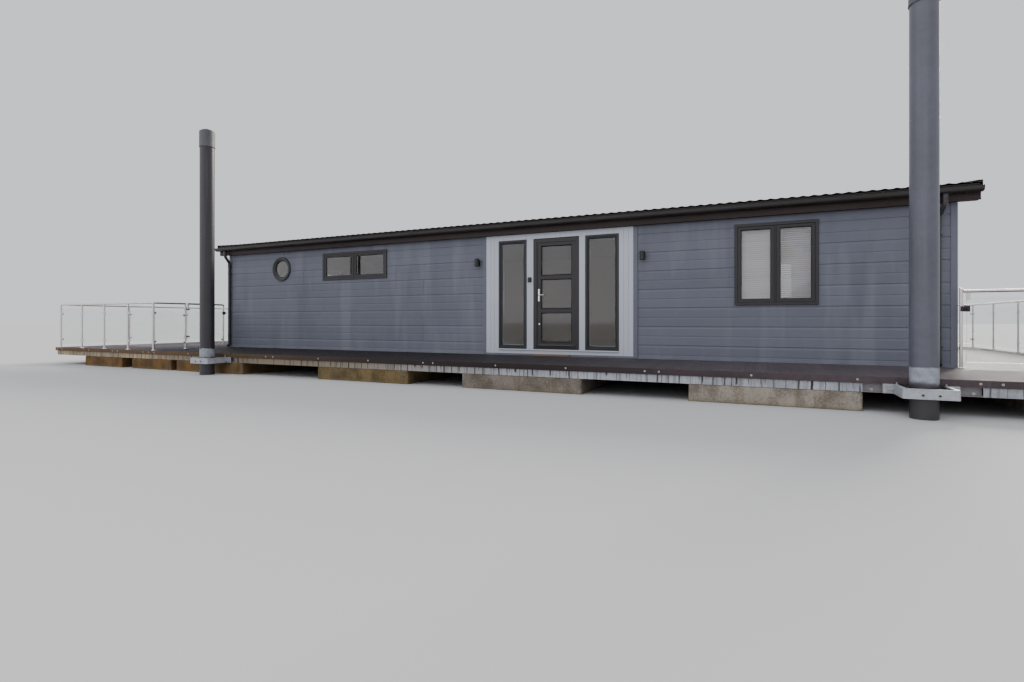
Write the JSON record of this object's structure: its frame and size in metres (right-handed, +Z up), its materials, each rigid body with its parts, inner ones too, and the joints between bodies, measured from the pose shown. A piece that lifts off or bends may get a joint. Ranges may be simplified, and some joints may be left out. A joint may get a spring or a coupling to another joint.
{
  "type": "houseboat with a boarded lodge on a float pontoon",
  "caption": "Boarded single-storey lodge on a flat pontoon of concrete floats and a steel frame, with open decks, glazed balustrades and gates, and mooring piles in guides.",
  "frame": {"origin": "on the waterline, at the middle of the pontoon in plan", "axes": "+X to the right along the front, +Y to the back, +Z up"},
  "size_m": [21.5, 10.4565, 7.51],
  "materials": {
    "concrete": "rough tan-grey concrete, darker at the waterline",
    "galvanised": "weathered galvanised steel",
    "decking": "dark brown composite deck board, grooved",
    "cladding": "matte grey-blue composite lap boards",
    "white": "pale satin upright panels",
    "anthracite": "satin anthracite frames",
    "trim": "satin near-black brown",
    "roofing": "dark matte roof tiles",
    "floor": "oak-coloured boards",
    "glass": "clear double glazing",
    "chrome": "polished",
    "stainless": "polished stainless tube",
    "pile": "satin grey-blue coating, worn pale near the deck",
    "cap": "dark cap",
    "lamp": "matte black"
  },
  "bodies": {
    "boat": {"float_1": "concrete", "float_2": "concrete", "float_3": "concrete", "float_4": "concrete", "float_5": "concrete", "float_6": "concrete", "float_7": "concrete", "pontoon_frame": "galvanised", "pile_guide_left": "galvanised", "pile_guide_right": "galvanised", "deck_front": "decking", "deck_rear": "decking", "deck_left": "decking", "deck_right": "decking", "wall_front_left": "cladding", "wall_front_right": "cladding", "wall_rear": "cladding", "wall_left_end": "cladding", "wall_right_end": "cladding", "entrance_screen": "white", "entrance_door_frame": "anthracite", "sidelight_left": "anthracite", "sidelight_right": "anthracite", "window_wide": "anthracite", "window_tall": "anthracite", "window_porthole": "anthracite", "window_rear_left": "anthracite", "window_rear_right": "anthracite", "fascia_front": "trim", "fascia_rear": "trim", "bargeboard_left": "trim", "bargeboard_right": "trim", "gutter_front": "trim", "gutter_rear": "trim", "downpipe_front_left": "trim", "downpipe_front_right": "trim", "downpipe_rear_left": "trim", "downpipe_rear_right": "trim", "roof_front": "roofing", "roof_rear": "roofing", "ridge_cap": "roofing", "cabin_floor": "floor", "balustrade_left": "stainless", "balustrade_right": "stainless", "gate_post_right": "stainless", "pile_left": "pile", "pile_right": "pile", "pile_cap_left": "cap", "pile_cap_right": "cap", "wall_light_left": "lamp", "wall_light_right": "lamp"},
    "entrance_door": {"entrance_door_leaf": "anthracite", "entrance_door_glass": "glass", "entrance_door_handle": "chrome"},
    "left_door_a": {"left_end_door_a": "anthracite"},
    "left_door_b": {"left_end_door_b": "anthracite"},
    "right_door_a": {"right_end_door_a": "anthracite"},
    "right_door_b": {"right_end_door_b": "anthracite"},
    "left_gate": {"gate_left": "stainless"},
    "right_gate": {"gate_right": "stainless"}
  },
  "joints": [
    {"name": "entrance_door_hinge", "type": "hinge", "parent": "boat", "child": "entrance_door", "pos_m": [2.527, -2.9735, 0.425], "axis": [0, 0, -1], "range_deg": [0, 90]},
    {"name": "left_end_door_a_hinge", "type": "hinge", "parent": "boat", "child": "left_door_a", "pos_m": [-6.8085, 0.897, 0.425], "axis": [0, 0, -1], "range_deg": [0, 90]},
    {"name": "left_end_door_b_hinge", "type": "hinge", "parent": "boat", "child": "left_door_b", "pos_m": [-6.8085, -0.897, 0.425], "axis": [0, 0, 1], "range_deg": [0, 90]},
    {"name": "right_end_door_a_hinge", "type": "hinge", "parent": "boat", "child": "right_door_a", "pos_m": [8.1785, -0.897, 0.425], "axis": [0, 0, -1], "range_deg": [0, 90]},
    {"name": "right_end_door_b_hinge", "type": "hinge", "parent": "boat", "child": "right_door_b", "pos_m": [8.1785, 0.897, 0.425], "axis": [0, 0, 1], "range_deg": [0, 90]},
    {"name": "left_gate_hinge", "type": "hinge", "parent": "boat", "child": "left_gate", "pos_m": [-6.85, -4.2, 0.425], "axis": [0, 0, 1], "range_deg": [0, 90]},
    {"name": "right_gate_hinge", "type": "hinge", "parent": "boat", "child": "right_gate", "pos_m": [9.2, -3.15, 0.425], "axis": [0, 0, -1], "range_deg": [0, 90]}
  ]
}
